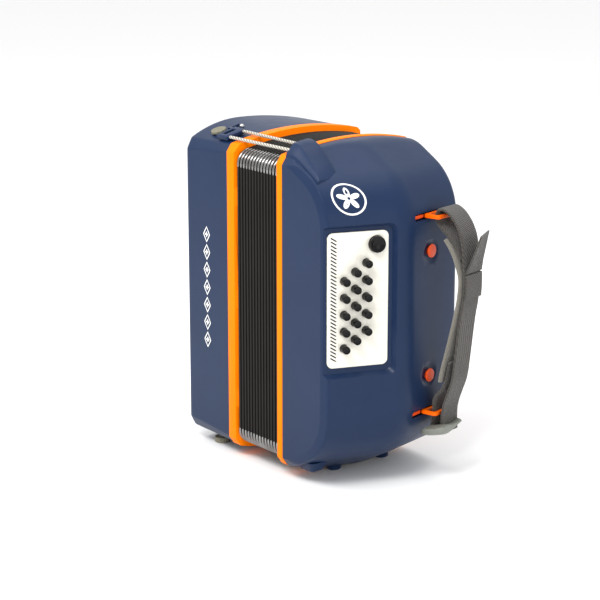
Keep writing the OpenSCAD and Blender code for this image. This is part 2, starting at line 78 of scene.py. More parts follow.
def on_palm_face(out, along, up):
    """A point counted off the palm face in the same way, from the ridge."""
    c, s = math.cos(PALM_TURN), math.sin(PALM_TURN)
    return at(RIDGE_X + out * c - along * s, RIDGE_Y + out * s + along * c, up)


# ---- Camera, light and floor ----
camera = bpy.data.objects.new("camera", bpy.data.cameras.new("camera"))
bpy.context.scene.collection.objects.link(camera)
bpy.context.scene.camera = camera
camera.data.sensor_width = 36
LENS, TILT, HEADING = 115.78, math.radians(90 - 14.279), math.radians(51.793)
camera.data.lens = LENS
camera.location = at(1366.94, -993.2, 426.46)
camera.rotation_euler = (TILT, 0, HEADING)

world = bpy.data.worlds.new("studio")
bpy.context.scene.world = world
world.use_nodes = True
world.node_tree.nodes["Background"].inputs["Color"].default_value = (1, 1, 1, 1)
world.node_tree.nodes["Background"].inputs["Strength"].default_value = 1.0
bpy.context.scene.view_settings.view_transform = "Standard"


def softbox(name, place, aim, size, power):
    lamp = bpy.data.lights.new(name, "AREA")
    lamp.shape = "RECTANGLE"
    lamp.size, lamp.size_y = size
    lamp.energy = power
    obj = bpy.data.objects.new(name, lamp)
    bpy.context.scene.collection.objects.link(obj)
    obj.location = place
    obj.rotation_euler = (Vector(aim) - Vector(place)).to_track_quat("-Z", "Y").to_euler()


softbox("key", (-0.9, -1.3, 1.7), (0, 0, 0.15), (0.9, 0.9), 12)
softbox("top", (0.1, 0.3, 1.9), (0, 0, 0.15), (1.6, 1.2), 9)
softbox("edge", (0.42, -1.0, 1.45), (0.0, -0.05, 0.2), (0.7, 0.5), 17)
softbox("side", (1.9, -0.2, 0.5), (0, 0, 0.15), (0.7, 1.2), 3)


# ---- Materials ----
def srgb(code):
    """A colour code as the linear numbers that shaders take."""
    parts = [int(code[i:i + 2], 16) / 255 for i in (0, 2, 4)]
    return tuple(c / 12.92 if c <= 0.04045 else ((c + 0.055) / 1.055) ** 2.4 for c in parts) + (1.0,)


class Wire:
    """A socket of a finish's node tree; arithmetic on it adds Math nodes."""

    def __init__(self, finish, socket):
        self.finish, self.socket = finish, socket

    def _math(self, operation, *terms):
        return self.finish.node("ShaderNodeMath", {"operation": operation}, dict(enumerate(terms)))

    def __add__(self, other):
        return self._math("ADD", self, other)

    def __radd__(self, other):
        return self._math("ADD", other, self)

    def __sub__(self, other):
        return self._math("SUBTRACT", self, other)

    def __rsub__(self, other):
        return self._math("SUBTRACT", other, self)

    def __mul__(self, other):
        return self._math("MULTIPLY", self, other)

    def __rmul__(self, other):
        return self._math("MULTIPLY", other, self)

    def sine(self):
        return self._math("SINE", self)


class Finish:
    """A material built from node expressions."""

    def __init__(self, name, **fixed):
        self.material = bpy.data.materials.new(name)
        self.material.use_nodes = True
        self.tree = self.material.node_tree
        self.shader = self.tree.nodes["Principled BSDF"]
        for key, value in fixed.items():
            self.shader.inputs[key.replace("_", " ")].default_value = value

    def node(self, kind, settings=None, inputs=None, output=0):
        made = self.tree.nodes.new(kind)
        for key, value in (settings or {}).items():
            setattr(made, key, value)
        for key, value in (inputs or {}).items():
            self._feed(made.inputs[key], value)
        return Wire(self, made.outputs[output])

    def _feed(self, socket, value):
        if isinstance(value, Wire):
            self.tree.links.new(value.socket, socket)
        else:
            socket.default_value = value

    def places(self, scale=(1, 1, 1)):
        start = self.node("ShaderNodeTexCoord", output=3)
        return self.node("ShaderNodeMapping", None, {"Vector": start, "Scale": scale})

    def fabric_map(self):
        return self.node("ShaderNodeUVMap", {"uv_map": "cloth"})

    def noise(self, scale, detail=3.0, places=None):
        return self.node("ShaderNodeTexNoise", None,
                         {"Vector": places or self.places(), "Scale": scale, "Detail": detail,
                          "Roughness": 0.55})

    def axes(self, vector):
        split = self.node("ShaderNodeSeparateXYZ", None, {0: vector})
        return [Wire(self, out) for out in split.socket.node.outputs]

    def mix(self, factor, first, second):
        return self.node("ShaderNodeMix", {"data_type": "RGBA"}, {0: factor, 6: first, 7: second}, 2)

    def bump(self, height, strength, distance, under=None):
        inputs = {"Height": height, "Strength": strength, "Distance": distance}
        if under:
            inputs["Normal"] = under
        return self.node("ShaderNodeBump", None, inputs)

    def surface(self, **sockets):
        for key, value in sockets.items():
            self._feed(self.shader.inputs[key.replace("_", " ")], value)
        return self.material


def moulded(name, colour, worn, roughness, grain=0.00004, **fixed):
    """Moulded plastic: faint mottling, a fine grain, and handling marks in its gloss."""
    f = Finish(name, **fixed)
    mottling = f.noise(22, 4)
    marks = f.noise(140, 6, f.places((1, 0.35, 1)))
    fine = f.noise(2600, 2)
    return f.surface(Base_Color=f.mix(mottling, srgb(colour), srgb(worn)),
                     Roughness=roughness + 0.16 * (marks - 0.5),
                     Normal=f.bump(fine, 0.2, grain))


def woven(name, dark, light, pitch, slant, depth):
    """Webbing with slanting ribs and a fine cross weave, on the cloth's own map."""
    f = Finish(name, Sheen_Weight=0.25, Sheen_Roughness=0.5)
    across, along, _ = f.axes(f.fabric_map())
    ribs = ((across * slant + along) * (2 * math.pi / pitch)).sine()
    threads = ((across - along * slant) * (2 * math.pi / (pitch * 0.45))).sine()
    height = 0.7 * ribs + 0.3 * threads
    fuzz = f.noise(900, 4)
    # tone: darker in the hollows between ribs and threads, where the bump dips, which is painted shade;
    # the fuzz part is the yarn's own uneven tone
    tone = (height * 0.22 + fuzz * 0.75)
    return f.surface(Base_Color=f.mix(tone, srgb(dark), srgb(light)), Roughness=0.86 + 0.1 * (fuzz - 0.5),
                     Normal=f.bump(height, 0.8, depth, f.bump(fuzz, 0.4, 0.0001)))


NAVY = moulded("navy_shell", "122442", "172B4B", 0.36, Specular_IOR_Level=0.2)
ORANGE = moulded("orange_frame", "FF8400", "FF7900", 0.40, Specular_IOR_Level=0.05)
BRACKET = moulded("orange_bracket", "FF6A00", "F45C00", 0.40, Specular_IOR_Level=0.12)
IVORY = moulded("ivory_panel", "E6E3D8", "DFDBCF", 0.28, 0.00002, Coat_Weight=0.4, Coat_Roughness=0.1)
KEYS = moulded("ivory_keys", "F1EEE2", "E6E2D4", 0.22, 0.00001, Coat_Weight=0.5, Coat_Roughness=0.08)
BLACK = moulded("black_buttons", "040404", "080808", 0.12, 0.00001, Specular_IOR_Level=0.2)
BUCKLE = moulded("grey_plastic", "6C6F67", "7B7E75", 0.46, 0.00006)
PLUG = moulded("red_plugs", "E04400", "EC5208", 0.5)
MARK = moulded("printed_mark", "F2F2EE", "E4E5E4", 0.5)
# near-black for the sheet behind the panel's slots: painted shade standing in for the dark inside
SLOT_SHADE_BLACK = moulded("slot_painted_shade", "060606", "101010", 0.7, Specular_IOR_Level=0.1)


def metal(name, colour, roughness, scratch):
    f = Finish(name, Metallic=1.0)
    streaks = f.noise(500, 5, f.places(scratch))
    return f.surface(Base_Color=f.mix(f.noise(60, 3), srgb(colour), (0.42, 0.42, 0.42, 1)),
                     Roughness=roughness + 0.2 * (streaks - 0.5),
                     Normal=f.bump(streaks, 0.25, 0.00002))


STEEL = metal("steel", "C8C9CC", 0.28, (1, 1, 0.1))
SILVER = metal("silver_corners", "4E4B48", 0.2, (0.2, 1, 1))
BRASS = metal("brass", "C9A24A", 0.35, (0.1, 1, 1))


def timber():
    f = Finish("wood")
    rings = f.noise(60, 5, f.places((0.12, 1, 1)))
    return f.surface(Base_Color=f.mix(rings, srgb("A07B4C"), srgb("CFA873")),
                     Roughness=0.6 + 0.2 * (rings - 0.5), Normal=f.bump(rings, 0.4, 0.0002))


def bellows_cloth():
    f = Finish("bellows_cloth", Specular_IOR_Level=0.25)
    threads = f.noise(1500, 3, f.places((1, 1, 0.4)))
    wear = f.noise(45, 5, f.places((0.4, 1, 1)))
    return f.surface(Base_Color=f.mix(0.6 * threads + 0.4 * wear, srgb("0A0908"), srgb("201E1B")),
                     Roughness=0.62 + 0.2 * (threads - 0.5), Normal=f.bump(threads, 0.5, 0.0001))


def felt_weave():
    f = Finish("felt_pads")
    x, y, _ = f.axes(f.places())
    thread = 2 * math.pi / 0.0016
    weave = (x * thread).sine() * (y * thread).sine()
    fuzz = f.noise(1200, 4)
    # tone: darker in the weave's hollows, where the bump dips, which is painted shade; the fuzz part is
    # the felt's own uneven tone
    tone = 0.45 + 0.3 * weave + 0.3 * (fuzz - 0.5)
    return f.surface(Base_Color=f.mix(tone, srgb("5F5B4A"), srgb("A19D8A")),
                     Roughness=0.9 + 0.1 * (fuzz - 0.5), Normal=f.bump(weave, 0.8, 0.0004))


def twisted_cord():
    f = Finish("cord", Sheen_Weight=0.2)
    across, along, _ = f.axes(f.fabric_map())
    strand = ((across * 3 + along * (1 / 0.0042)) * (2 * math.pi)).sine()
    fuzz = f.noise(1500, 3)
    # tone: light on each strand's crest and dark in the grooves between strands, following the bump's
    # height, which is painted shade; the fuzz part is the fibres' own uneven tone
    tone = 0.5 + 0.42 * strand + 0.3 * (fuzz - 0.5)
    return f.surface(Base_Color=f.mix(tone, srgb("6E6A60"), srgb("D2CEC2")),
                     Roughness=0.8 + 0.1 * (fuzz - 0.5), Normal=f.bump(strand, 0.5, 0.0003))


def knit():
    """The pad's knit cover: rows of small loops."""
    f = Finish("knit_pad", Sheen_Weight=0.4)
    across, along, _ = f.axes(f.fabric_map())
    loops = (across * (2 * math.pi / 0.0017)).sine() * (along * (2 * math.pi / 0.0022)).sine()
    fuzz = f.noise(700, 5)
    # tone: darker in the hollows between loops, where the bump dips, which is painted shade; the fuzz
    # part is the yarn's own uneven tone
    tone = 0.5 + 0.3 * loops + 0.7 * (fuzz - 0.5)
    return f.surface(Base_Color=f.mix(tone, srgb("55524B"), srgb("8D887C")),
                     Roughness=0.9 + 0.1 * (fuzz - 0.5),
                     Normal=f.bump(loops, 0.9, 0.0004, f.bump(fuzz, 0.5, 0.0003)))


WOOD, CLOTH, FELT, CORD, KNIT = timber(), bellows_cloth(), felt_weave(), twisted_cord(), knit()
WEBBING = woven("webbing", "24211E", "4F4A43", 0.0028, 0.9, 0.0005)


def floor_finish():
    f = Finish("floor", Specular_IOR_Level=0.2)
    return f.surface(Base_Color=(0.93, 0.93, 0.93, 1), Roughness=0.7)


bpy.ops.mesh.primitive_plane_add(size=8, location=(0, 0, -0.0003))
floor = bpy.context.object
floor.name = "floor"
floor.data.materials.append(floor_finish())


# ---- Modelling helpers ----
def select_only(obj):
    bpy.ops.object.select_all(action="DESELECT")
    obj.hide_set(False)
    obj.select_set(True)
    bpy.context.view_layer.objects.active = obj


def apply_modifier(obj, kind, **settings):
    select_only(obj)
    made = obj.modifiers.new(kind.lower(), kind)
    for key, value in settings.items():
        setattr(made, key, value)
    bpy.ops.object.modifier_apply(modifier=made.name)


def cleaned(obj, flatten):
    """Joins doubled vertices and dissolves edges between faces within an angle in degrees."""
    select_only(obj)
    bpy.ops.object.mode_set(mode="EDIT")
    bpy.ops.mesh.select_all(action="SELECT")
    bpy.ops.mesh.remove_doubles(threshold=0.00001)
    bpy.ops.mesh.dissolve_limited(angle_limit=math.radians(flatten))
    bpy.ops.mesh.normals_make_consistent(inside=False)
    bpy.ops.object.mode_set(mode="OBJECT")


def smooth(obj, angle=35):
    select_only(obj)
    bpy.ops.object.shade_smooth_by_angle(angle=math.radians(angle))


def settled(obj):
    """Puts the piece's place into its mesh."""
    select_only(obj)
    bpy.ops.object.transform_apply(location=True, rotation=True, scale=True)
    return obj


def finished(obj, name, finish, slot, body, *stands_for):
    obj.name = obj.data.name = name
    obj.data.materials.clear()
    obj.data.materials.append(finish)
    if body:
        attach(obj, body)
    if stands_for:
        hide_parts(*stands_for)
    return obj


def refined(node, finish, slot, body, bevel=0.5, segments=2, reshape=None):
    """A CAD node's shape with its edges rounded as moulding or turning leaves them."""
    obj = bpy.data.objects.new(node + "_finished", nodes[node].data.copy())
    bpy.context.scene.collection.objects.link(obj)
    cleaned(obj, flatten=1.5)
    if reshape:
        for vertex in obj.data.vertices:
            reshape(vertex.co)
    apply_modifier(obj, "BEVEL", width=bevel * MM, segments=segments, limit_method="ANGLE",
                   angle_limit=math.radians(32), harden_normals=False)
    smooth(obj)
    return finished(obj, node + "_finished", finish, slot, body, node)


def wrapped(columns, rows, place, seam=True, caps=True, uv=None):
    """A grid whose vertices are moved to place(u, v), both from 0 to 1, then seamed and capped."""
    bpy.ops.mesh.primitive_grid_add(x_subdivisions=columns, y_subdivisions=rows, size=2)
    obj = bpy.context.object
    mesh = obj.data
    if uv:
        layer = mesh.uv_layers[0] if mesh.uv_layers else mesh.uv_layers.new()
        layer.name = "cloth"
        for loop in mesh.loops:
            c = mesh.vertices[loop.vertex_index].co
            layer.data[loop.index].uv = uv((c.x + 1) / 2, (c.y + 1) / 2)
    spots = [place((v.co.x + 1) / 2, (v.co.y + 1) / 2) for v in mesh.vertices]
    for vertex, spot in zip(mesh.vertices, spots):
        vertex.co = spot
    select_only(obj)
    bpy.ops.object.mode_set(mode="EDIT")
    bpy.ops.mesh.select_all(action="SELECT")
    if seam:
        bpy.ops.mesh.remove_doubles(threshold=0.000005)
    if caps:
        bpy.ops.mesh.select_all(action="DESELECT")
        bpy.ops.mesh.select_mode(type="EDGE")
        bpy.ops.mesh.select_non_manifold(extend=False, use_wire=False, use_boundary=True,
                                         use_multi_face=False, use_non_contiguous=False, use_verts=False)
        bpy.ops.mesh.edge_face_add()
        bpy.ops.mesh.select_mode(type="VERT")
    bpy.ops.mesh.select_all(action="SELECT")
    bpy.ops.mesh.normals_make_consistent(inside=False)
    bpy.ops.object.mode_set(mode="OBJECT")
    return obj


def joined(parts):
    bpy.ops.object.select_all(action="DESELECT")
    for part in parts:
        part.select_set(True)
    bpy.context.view_layer.objects.active = parts[0]
    bpy.ops.object.join()
    return bpy.context.object


def carved(obj, cutter):
    apply_modifier(obj, "BOOLEAN", object=cutter, operation="DIFFERENCE", solver="EXACT")
    bpy.data.objects.remove(cutter)


def rounded_block(place, size, radius, segments=4, turned=0.0, flat_axis=0):
    """A block centred at place, turned about Z, its edges along one axis rounded."""
    bpy.ops.mesh.primitive_cube_add(size=1)
    obj = bpy.context.object
    obj.scale = [s * MM for s in size]
    settled(obj)
    select_only(obj)
    mesh = bmesh.new()
    mesh.from_mesh(obj.data)
    along = Vector([float(k == flat_axis) for k in range(3)])
    edges = [e for e in mesh.edges
             if abs((e.verts[0].co - e.verts[1].co).normalized().dot(along)) > 0.99]
    bmesh.ops.bevel(mesh, geom=edges, offset=radius * MM, segments=segments, affect="EDGES",
                    profile=0.5)
    mesh.to_mesh(obj.data)
    mesh.free()
    obj.rotation_euler = (0, 0, turned)
    obj.location = place
    return settled(obj)


def curve_through(points, steps):
    """A smooth run through the points, with the same number of steps in each stretch."""
    pts = [Vector(p) for p in points]
    ends = [2 * pts[0] - pts[1]] + pts + [2 * pts[-1] - pts[-2]]
    run = []
    for i in range(1, len(ends) - 2):
        a, b, c, d = ends[i - 1:i + 3]
        for k in range(steps):
            t = k / steps
            run.append(0.5 * (2 * b + (c - a) * t + (2 * a - 5 * b + 4 * c - d) * t * t
                              + (3 * b - a - 3 * c + d) * t ** 3))
    return run + [pts[-1]]


def sampled(run):
    """A function of 0 to 1 that gives the point at that share of the run's steps."""
    last = len(run) - 1

    def point(t):
        i = min(int(t * last), last - 1)
        return run[i].lerp(run[i + 1], t * last - i)
    return point


def softened(corners, radii, steps=4):
    """The outline with each corner of a radius turned into a short curve of steps + 1 points."""
    n = len(corners)
    out = []
    for i, (corner, radius) in enumerate(zip(corners, radii)):
        corner = Vector(corner)
        if not radius:
            out.append(corner)
            continue
        before, after = Vector(corners[i - 1]), Vector(corners[(i + 1) % n])
        a = corner + (before - corner).normalized() * min(radius, (before - corner).length * 0.45)
        b = corner + (after - corner).normalized() * min(radius, (after - corner).length * 0.45)
        for k in range(steps + 1):
            t = k / steps
            out.append(a * (1 - t) ** 2 + corner * 2 * t * (1 - t) + b * t * t)
    return out


def skinned(rings, to_place, caps=True):
    """A skin over rings of equally many points, each ring closed."""
    count = len(rings[0])

    def place(u, v):
        ring = rings[round(u * (len(rings) - 1))]
        return to_place(ring[round(v * count) % count])
    return wrapped(len(rings) - 1, count, place, caps=caps)


# ---- Outlines of the case ----
CROWN, ARCH_R, ARCH_Y = 148.5, 300.0, 78.0      # arch of the frames
FRONT_Z, CHAMFER_SLOPE, BACK_RISE = 132.5, 7 / 5, 6
TREBLE_LEN = 62.0
END_CROWN, END_Y, END_R_FRONT, END_R_BACK = 150.5, 58, 111, 338    # arch of the treble case's end
END_FRONT_Z, JOIN_FRONT_Z = 127.5, 131.5


def arch(y):
    return CROWN - ARCH_R + math.sqrt(ARCH_R ** 2 - (y - ARCH_Y) ** 2)


def frame_top(y):
    return min(FRONT_Z + CHAMFER_SLOPE * y, arch(y), FRONT_Z + BACK_RISE + DEPTH - y)


def end_top(y):
    r = END_R_FRONT if y < END_Y else END_R_BACK
    return END_CROWN - r + math.sqrt(r * r - (y - END_Y) ** 2)


def case_top(x, y):
    """Height of the treble case's top at a place."""
    share = (x + TREBLE_LEN) / TREBLE_LEN
    return end_top(y) * (1 - share) + (arch(y) - 1) * share


def face_x(y):
    """Where the button face and the palm face stand at a depth, with a soft ridge between them."""
    soft = 11.0
    front, back = math.tan(PANEL_TURN), -math.tan(PALM_TURN)
    d = y - RIDGE_Y
    if d < -soft:
        return RIDGE_X + d * front
    if d > soft:
        return RIDGE_X + d * back
    t = (d + soft) / (2 * soft)
    return RIDGE_X - soft * front + 2 * soft * (front * t + (back - front) * t * t / 2)


# ---- Treble case ----
def treble_ring(x, inset):
    share = (x + TREBLE_LEN) / TREBLE_LEN
    front = (END_FRONT_Z * (1 - share) + JOIN_FRONT_Z * share) - inset
    back = end_top(DEPTH) * (1 - share) + (FRONT_Z + 5) * share - inset
    steps = 22
    ys = [5 + inset + (DEPTH - 5 - 2 * inset) * i / steps for i in range(steps + 1)]
    top = [(y, case_top(x, y) - inset) for y in ys]
    top[-1] = (DEPTH - inset, min(back, top[-1][1]))
    corners = [(inset, front)] + top
    corners += [(y, -z) for y, z in reversed(corners)]
    half = [1.6, 1.6] + [0] * (steps - 1) + [3]
    radii = half + half[::-1]
    return [(x, p.x, p.y) for p in softened(corners, radii, 3)]


END_X = -TREBLE_LEN
END_EDGE = [(0.0, 2.2), (0.05, 1.6), (0.25, 0.9), (0.6, 0.4), (1.1, 0.1), (1.8, 0.0), (5.0, 0.0)]
stations = [(END_X + a, b) for a, b in END_EDGE]
stations += [(END_X + 5 + (TREBLE_LEN - 5) * i / 10, 0.0) for i in range(1, 11)]
treble = skinned([treble_ring(x, inset) for x, inset in stations], lambda p: at(*p))
window = rounded_block(at(END_X, DEPTH / 2, 0), (20, 16, 140), 1)
carved(treble, window)
smooth(treble, 28)
finished(treble, "treble_case", NAVY, "navy_shell", "treble", "treble_casing")

# ---- Bass case ----
def bass_ring(y, bevel):
    top = frame_top(y) - 0.8
    r = SHOULDER_R - bevel
    centre = face_x(y) - SHOULDER_R
    slope = math.tan(RUN_OUT)
    start = Vector((centre + r * math.sin(RUN_OUT), SHOULDER_Z + r * math.cos(RUN_OUT)))
    brow = Vector((start.x - (top - start.y) / slope, top))
    half = [Vector((BASS_X, top))]
    half += softened([(BASS_X, top), brow, start], [0, 9, 0], 5)[1:-1]
    half += [start.lerp(brow, t) for t in (0.4, 0.2)]
    arc = 16
    for i in range(arc + 1):
        angle = RUN_OUT + (math.pi / 2 - RUN_OUT) * i / arc
        half.append(Vector((centre + r * math.sin(angle), SHOULDER_Z + r * math.cos(angle))))
    half += [Vector((centre + r, SHOULDER_Z * k / 6)) for k in (5, 4, 3, 2, 1)]
    ring = half + [Vector((centre + r, 0.0))] + [Vector((p.x, -p.y)) for p in reversed(half)]
    return [(p.x, y, p.y) for p in ring]


FRONT_EDGE = [(0.0, 8.3), (0.0, 7.7), (0.06, 7.1), (0.2, 6.5), (0.5, 5.3), (0.9, 3.6), (1.35, 1.85),
              (1.65, 0.8), (2.0, 0.25), (2.6, 0.0)]
BACK_EDGE = [(139.5, 0.0), (141.6, 0.5), (143.0, 1.6), (143.7, 3.0), (144.0, 4.8)]
FACE_START, FACE_END, RIDGE_HALF = 9, 138, 12
depths = FRONT_EDGE + [(y, 0.0) for y in (3.8, 5.0, 6.5, FACE_START)]
depths += [(FACE_START + (RIDGE_Y - RIDGE_HALF - FACE_START) * i / 8, 0.0) for i in range(1, 9)]
depths += [(RIDGE_Y - RIDGE_HALF + 2 * RIDGE_HALF * i / 10, 0.0) for i in range(1, 11)]
depths += [(RIDGE_Y + RIDGE_HALF + (FACE_END - RIDGE_Y - RIDGE_HALF) * i / 8, 0.0) for i in range(1, 9)]
depths += BACK_EDGE
bass = skinned([bass_ring(y, bevel) for y, bevel in depths], lambda p: at(*p))

PANEL_ALONG, PANEL_UP, PANEL_W, PANEL_H = 27.9, 22.0, 54.8, 118.0
RECESS_D, RECESS_W, RECESS_H = 4.6, 71.6, 127.0
RECESS_ALONG, RECESS_UP = 23.6, 21.0
FLARE, CUTTER_T = 0.7, 8                        # how far the recess's walls lean out per depth


def flared_cutter():
    """The recess's cutter, wider at its mouth than at its floor."""
    block = rounded_block(Vector((0, 0, 0)), (CUTTER_T, RECESS_W, RECESS_H), 6, 8)
    for v in block.data.vertices:
        if v.co.x > 0:
            v.co.y *= 1 + 2 * CUTTER_T * FLARE / RECESS_W
            v.co.z *= 1 + 2 * CUTTER_T * FLARE / RECESS_H
    block.rotation_euler = (0, 0, -PANEL_TURN)
    block.location = on_button_face(CUTTER_T / 2 - RECESS_D, RECESS_ALONG, RECESS_UP)
    return settled(block)


carved(bass, flared_cutter())
POCKET_CLEAR = 0.6
pocket = rounded_block(on_button_face(-2.5, PANEL_ALONG, PANEL_UP),
                       (6, PANEL_W + POCKET_CLEAR, PANEL_H + POCKET_CLEAR), 5.2, 6, -PANEL_TURN)
carved(bass, pocket)
STRAP_SLOT_Z, PLUG_Z, DIMPLE_R = 88, 55, 28
for side in (1, -1):
    slot = rounded_block(on_palm_face(0, 36.5, STRAP_SLOT_Z * side), (14, 51, 6), 2.4, 4, PALM_TURN)
    carved(bass, slot)
    bpy.ops.mesh.primitive_uv_sphere_add(segments=48, ring_count=24, radius=DIMPLE_R * MM,
                                         location=on_palm_face(DIMPLE_R - 2.4, 35, PLUG_Z * side))
    carved(bass, settled(bpy.context.object))
smooth(bass, 24)


# Raised guard that the closing cords run into
def guard_ring(x, share):
    """One rib of the guard: depth and height, over the shoulder at this station."""
    fade = 1 - share
    brow = [p for p in bass_ring(16, 0)][:24]
    z = None
    for a, b in zip(brow, brow[1:]):
        if a[0] <= x <= b[0]:
            z = a[2] + (b[2] - a[2]) * (x - a[0]) / (b[0] - a[0])
    z = z if z is not None else brow[-1][2]
    rise = 8.6 * fade ** 0.55
    back = 31 - 4 * share
    lip = 12.5 - 5.5 * share
    slant = (arch(30) - arch(16)) * fade
    profile = [(4.4, -7), (4.4, -1.8), (4.8, -0.8), (5.4, rise * 0.1), (lip - 0.7, rise * 0.86),
               (lip + 0.2, rise * 0.97), (20, rise + slant * 0.4), (back - 3, rise + slant * 0.75),
               (back - 0.6, rise * 0.97 + slant * 0.7), (back, rise * 0.8 + slant * 0.6), (back, -7)]
    return [(x, y, z + h) for y, h in profile]


guard_x = [(BASS_X, 0.0), (BASS_X + 0.8, 0.0), (84, 0.04), (89, 0.12), (94, 0.22), (99, 0.34),
           (104, 0.47), (109, 0.6), (114, 0.74), (119, 0.88), (123.5, 0.995)]
guard = skinned([guard_ring(gx, share) for gx, share in guard_x], lambda p: at(*p))
smooth(guard, 30)


def tapered_block(place, size, radius, share):
    """A rounded block whose lower face is drawn in."""
    block = rounded_block(place, size, radius, 5, 0, 2)
    low = min(v.co.z for v in block.data.vertices)
    for v in block.data.vertices:
        if v.co.z < low + 0.0001:
            v.co.x = place.x + (v.co.x - place.x) * share
            v.co.y = place.y + (v.co.y - place.y) * share
    apply_modifier(block, "BEVEL", width=1.2 * MM, segments=3, limit_method="ANGLE",
                   angle_limit=math.radians(30))
    return block


toe = tapered_block(at(BASS_X + 17, 19, -136.4), (30, 22, 10), 5, 0.62)
feet = [tapered_block(at(BASS_X + 8, y, FLOOR + 5), (14, 14, 10), 6.9, 0.94) for y in (52, 108)]
bass = joined([bass, guard, toe] + feet)
smooth(bass, 26)
finished(bass, "bass_case", NAVY, "navy_shell", "bass", "bass_casing")

# ---- Orange frames, panel, buttons and small fittings ----


def slanted_lip(spot):
    """The treble frame's inner edge leans in from its front face."""
    if spot.x > at(12.4, 0, 0).x:
        spot.x = at(10.4 if spot.y < at(0, 0.8, 0).y else 12.4, 0, 0).x


refined("treble_frame", ORANGE, "orange_frame", "treble", 0.5, reshape=slanted_lip)
refined("bass_frame", ORANGE, "orange_frame", "bass", 0.7)
refined("bass_panel", IVORY, "ivory_panel", "bass", 0.35)


def turned(profile, along, up, steps=32):
    """A turned piece, its axis out of the button face: the profile gives distance out and radius."""
    def place(u, v):
        out, r = profile[round(u * (len(profile) - 1))]
        angle = 2 * math.pi * v
        return on_button_face(out, along + r * math.cos(angle), up + r * math.sin(angle))
    return wrapped(len(profile) - 1, steps, place, caps=False)


COLUMN, COLUMN_GAP, LOWEST, PITCH = 15.5, 9.9, -20.1, 14.8
BUTTON_R, BUTTON_OUT = 3.45, 5.0
COLLAR_IN, COLLAR_OUT = -7.8, -5.8               # the collars that stop the buttons behind the panel
button_profile = [(-21.8, 0), (-21.8, 2.3), (-21.6, 2.5), (COLLAR_IN, 2.5), (COLLAR_IN, 4.1),
                  (COLLAR_IN + 0.1, 4.25), (COLLAR_OUT - 0.1, 4.25), (COLLAR_OUT, 4.1),
                  (COLLAR_OUT, BUTTON_R), (BUTTON_OUT - 0.5, BUTTON_R),
                  (BUTTON_OUT - 0.15, BUTTON_R - 0.12), (BUTTON_OUT, BUTTON_R - 0.4),
                  (BUTTON_OUT - 0.05, BUTTON_R - 0.75),
                  (BUTTON_OUT - 0.45, BUTTON_R - 1.2), (BUTTON_OUT - 0.8, 1.3), (BUTTON_OUT - 0.95, 0)]
for i in range(15):
    column, row = i // 5, i % 5
    button = turned(button_profile, COLUMN + COLUMN_GAP * column, LOWEST + PITCH * (row + column / 2))
    name = f"bass_button_{i + 1}"
    smooth(button, 40)
    finished(button, name + "_finished", BLACK, "black_buttons", name, name)
AIR_R, AIR_OUT = 7.2, 1.0
AIR_ALONG, AIR_UP = 44.5, 69.5
air_profile = [(-70, 0), (-70, 2), (COLLAR_IN, 2), (COLLAR_IN, AIR_R + 0.8), (COLLAR_OUT, AIR_R + 0.8),
               (COLLAR_OUT, AIR_R), (AIR_OUT - 0.8, AIR_R), (AIR_OUT - 0.2, AIR_R - 0.2),
               (AIR_OUT, AIR_R - 0.7), (AIR_OUT - 0.1, AIR_R - 1.3), (AIR_OUT - 0.9, AIR_R - 2.1),
               (AIR_OUT - 1.5, 3.0), (AIR_OUT - 1.7, 0)]
air = turned(air_profile, AIR_ALONG, AIR_UP, 48)
smooth(air, 40)
finished(air, "air_button_finished", BLACK, "black_buttons", "air_valve_set", "air_button")
for i in range(1, 19):
    refined(f"treble_key_{i}", KEYS, "ivory_keys", f"treble_key_{i}", 0.6, 2)
refined("fingerboard", NAVY, "navy_shell", "treble", 1.4, 3)
refined("cord_hooks", NAVY, "navy_shell", "treble", 0.5)
refined("strap_lugs", STEEL, "steel", "treble", 0.5)
refined("cord_studs", STEEL, "steel", "treble", 0.2)
refined("foot_pads", FELT, "felt_pads", "treble", 0.5)
BRACKET_MID = 43
brackets = []
for side in (1, -1):
    loop = rounded_block(on_palm_face(5.2, BRACKET_MID, STRAP_SLOT_Z * side), (16.6, 34, 3.4), 3.0, 4,
                         PALM_TURN, 2)
    hole = rounded_block(on_palm_face(5.6, BRACKET_MID, STRAP_SLOT_Z * side), (9.4, 27.6, 8), 1.5, 3,
                         PALM_TURN, 2)
    carved(loop, hole)
    apply_modifier(loop, "BEVEL", width=0.6 * MM, segments=2, limit_method="ANGLE",
                   angle_limit=math.radians(40))
    brackets.append(loop)
brackets = joined(brackets)
smooth(brackets)
finished(brackets, "strap_brackets_finished", BRACKET, "orange_frame", "bass", "strap_brackets")
tongues = joined([rounded_block(on_palm_face(-4, 18.5, STRAP_SLOT_Z * side), (3.4, 14.5, 2.8), 0.8, 3,
                                PALM_TURN)
                  for side in (1, -1)])
finished(tongues, "bracket_tongues", PLUG, "orange_frame", "bass")
refined("strap_plugs", PLUG, "red_plugs", "bass", 0.5, 3)


def buckle_spot(u, v):
    """The buckle: a bent bar across the strap, deep at its near end and drawn out at the far one."""
    across = 19.5 + 35 * u
    tall = 1.3 + 3.4 * math.exp(-((u - 0.3) / 0.3) ** 2)
    middle = -102.5 + 3.2 * u + 1.2 * math.cos(math.pi * u * 1.6) - 0.35 * tall
    angle = 2 * math.pi * v
    c, s = math.cos(angle), math.sin(angle)
    blunt = 1 - 0.45 * max(0.0, abs(2 * u - 1) - 0.8) / 0.2
    reach = 12.5 * blunt * abs(c) ** 0.5 * (1 if c > 0 else -1)
    up = middle + tall * abs(s) ** 0.6 * (1 if s > 0 else -1) + reach * 0.25
    return on_palm_face(12.5 + reach, across, up)


